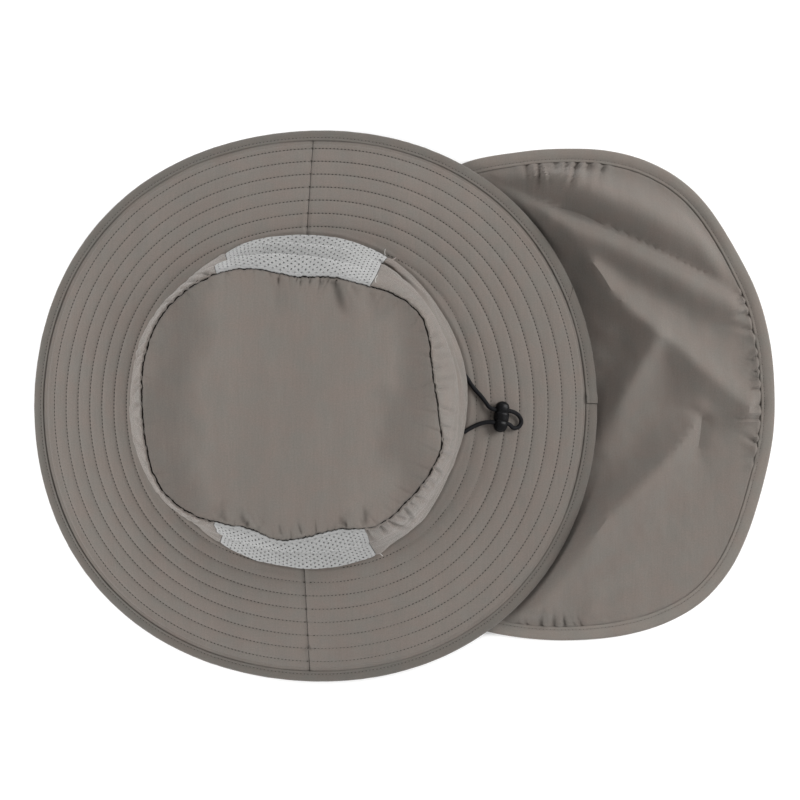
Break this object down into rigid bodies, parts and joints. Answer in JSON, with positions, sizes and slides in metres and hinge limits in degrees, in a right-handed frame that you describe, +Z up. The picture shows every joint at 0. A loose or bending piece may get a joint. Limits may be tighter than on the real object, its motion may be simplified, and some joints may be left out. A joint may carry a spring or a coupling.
{
  "type": "flap sun hat",
  "caption": "Soft sun hat lying on a floor: cloth crown with perforated side vents, wide quilted brim, neck flap spread out behind, and an elastic drawcord with a sliding stopper.",
  "frame": {"origin": "on the floor under the middle of the whole hat, as it lies with its neck flap spread out", "axes": "+Z up, +X from the front of the brim towards the neck flap, +Y towards the wearer's right side"},
  "size_m": [0.4366, 0.3248, 0.1216],
  "materials": {
    "shell_cloth": "matt taupe brushed microfibre cloth",
    "vent_mesh": "light grey perforated knit",
    "edge_tape": "matt taupe folded bias tape",
    "cord": "black braided elastic",
    "stopper": "black moulded plastic, satin"
  },
  "bodies": {
    "root": {"crown_tip": "shell_cloth", "crown_front_panel": "shell_cloth", "crown_back_panel": "shell_cloth", "mesh_window_right": "vent_mesh", "mesh_window_left": "vent_mesh", "brim_front": "shell_cloth", "brim_back": "shell_cloth", "brim_binding": "edge_tape", "neck_flap": "shell_cloth", "flap_binding": "edge_tape", "drawcord": "cord", "cord_stopper": "stopper"}
  },
  "joints": []
}
